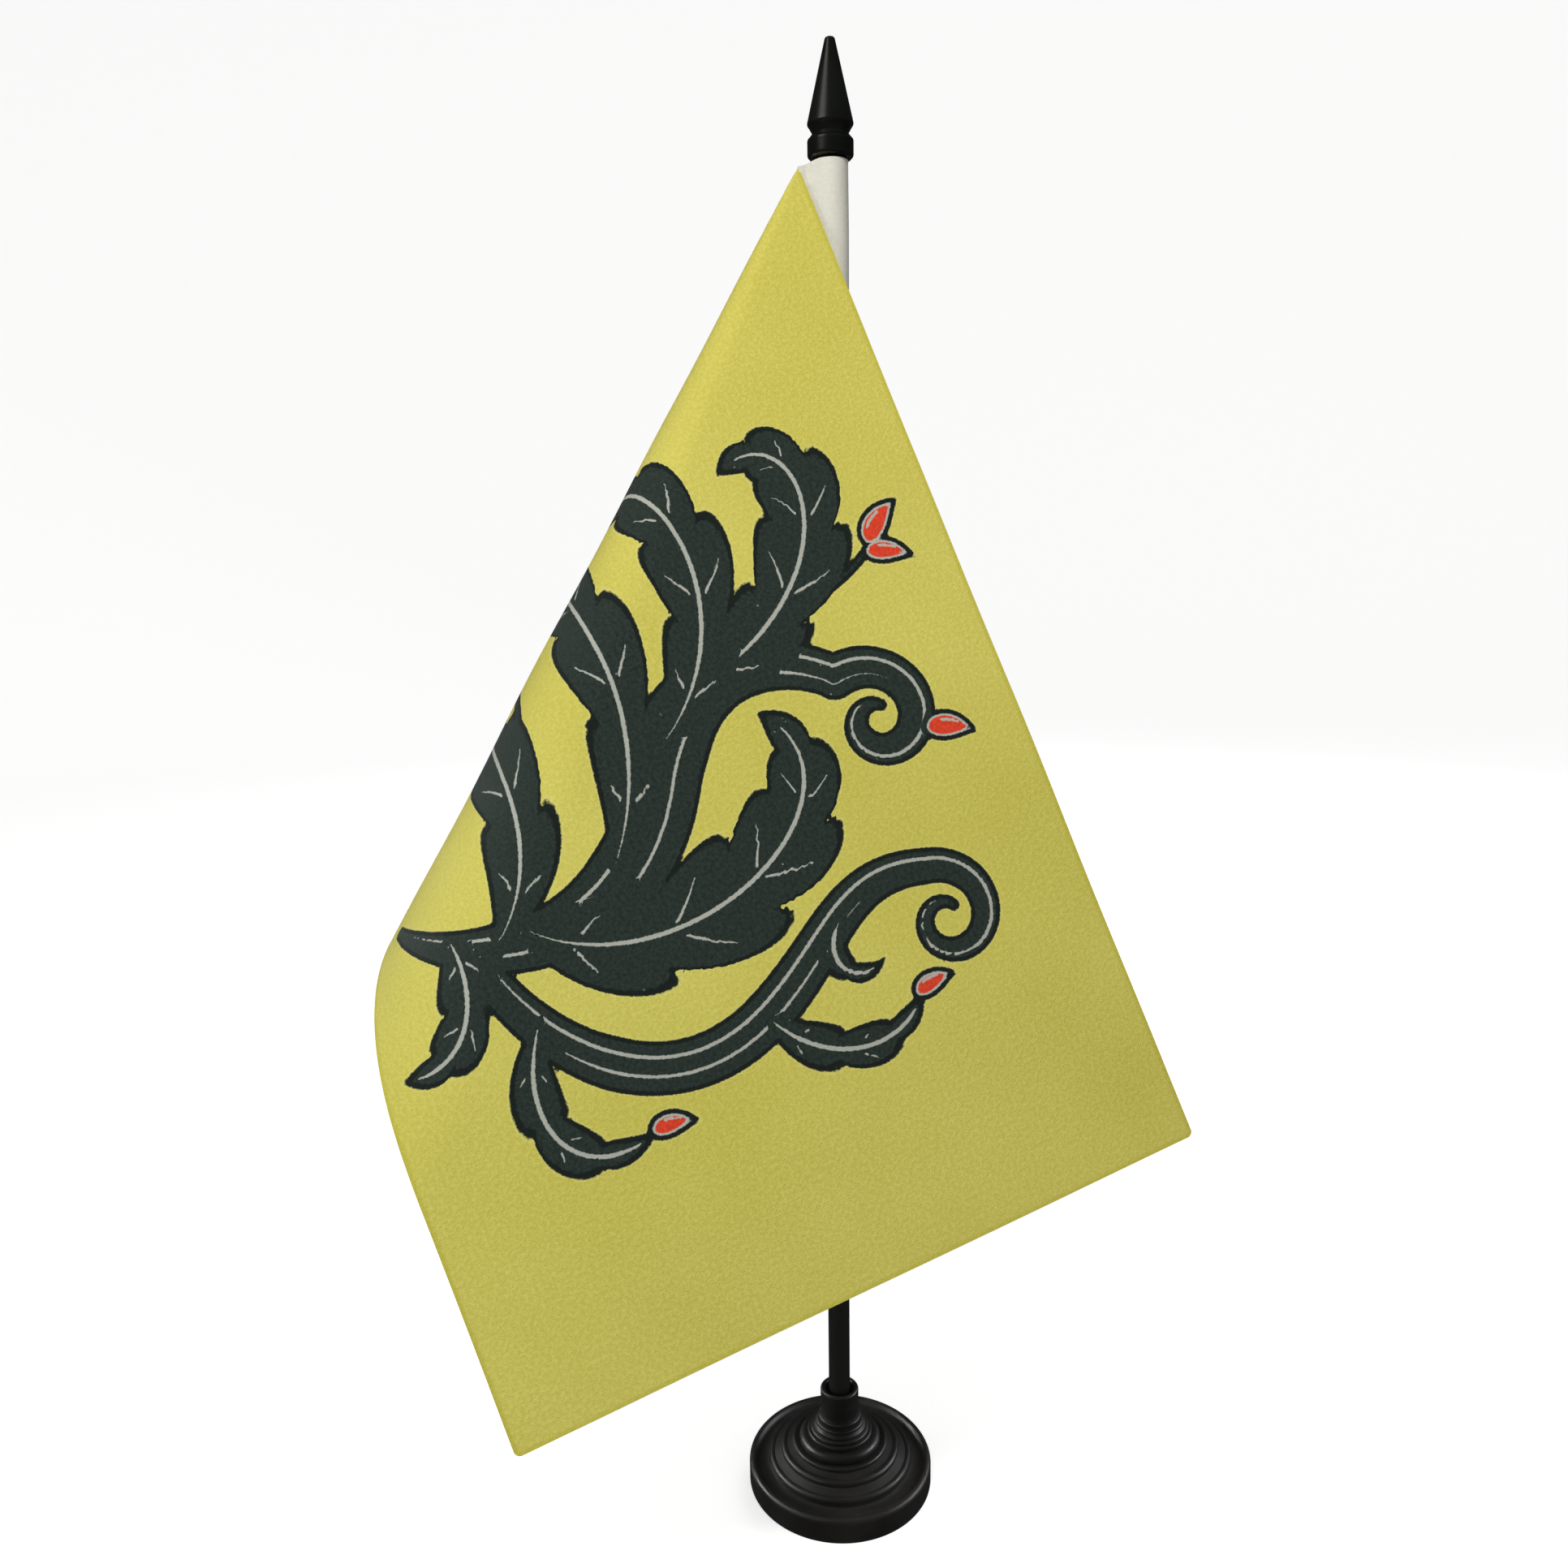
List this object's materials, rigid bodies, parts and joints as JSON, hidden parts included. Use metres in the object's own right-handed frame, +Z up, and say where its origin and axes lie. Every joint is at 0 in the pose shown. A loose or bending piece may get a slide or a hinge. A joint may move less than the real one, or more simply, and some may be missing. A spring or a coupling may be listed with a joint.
{
  "type": "desk flag stand",
  "caption": "Small table flag sewn to a sleeve on a black plastic pole with a pointed finial, pushed into a weighted round stepped base.",
  "frame": {"origin": "centre of the base's flat underside, on the pole's axis", "axes": "+Z up along the pole; the flag hangs forward of it, towards -Y, from a seam on the -X side; +X is the observer's right"},
  "size_m": [0.1586, 0.1062, 0.33],
  "materials": {
    "base_plastic": "fine matte moulded black plastic",
    "weight_steel": "plain zinc-plated steel washer",
    "pad_foam": "thin closed-cell foam",
    "pole_plastic": "satin extruded black plastic",
    "finial_plastic": "glossy moulded black plastic",
    "sleeve_cloth": "white satin-woven polyester",
    "flag_cloth": "printed polyester twill, golden yellow with a black leaf-scroll ornament",
    "stitch_thread": "white polyester sewing thread"
  },
  "bodies": {
    "base": {"base_shell": "base_plastic", "base_weight": "weight_steel", "base_cover": "base_plastic", "base_pad": "pad_foam"},
    "mast": {"pole": "pole_plastic"},
    "finial": {"finial": "finial_plastic"},
    "flag": {"flag_sleeve": "sleeve_cloth", "flag_panel": "flag_cloth", "seam_stitches": "stitch_thread"}
  },
  "joints": [
    {"name": "pole_lift", "type": "slide", "parent": "base", "child": "mast", "axis": [0, 0, 1], "range_m": [0, 0.03]},
    {"name": "finial_pull", "type": "slide", "parent": "mast", "child": "finial", "axis": [0, 0, 1], "range_m": [0, 0.012]},
    {"name": "flag_swivel", "type": "hinge", "parent": "mast", "child": "flag", "pos_m": [0, 0, 0.2368], "axis": [0, 0, 1], "continuous": true}
  ]
}
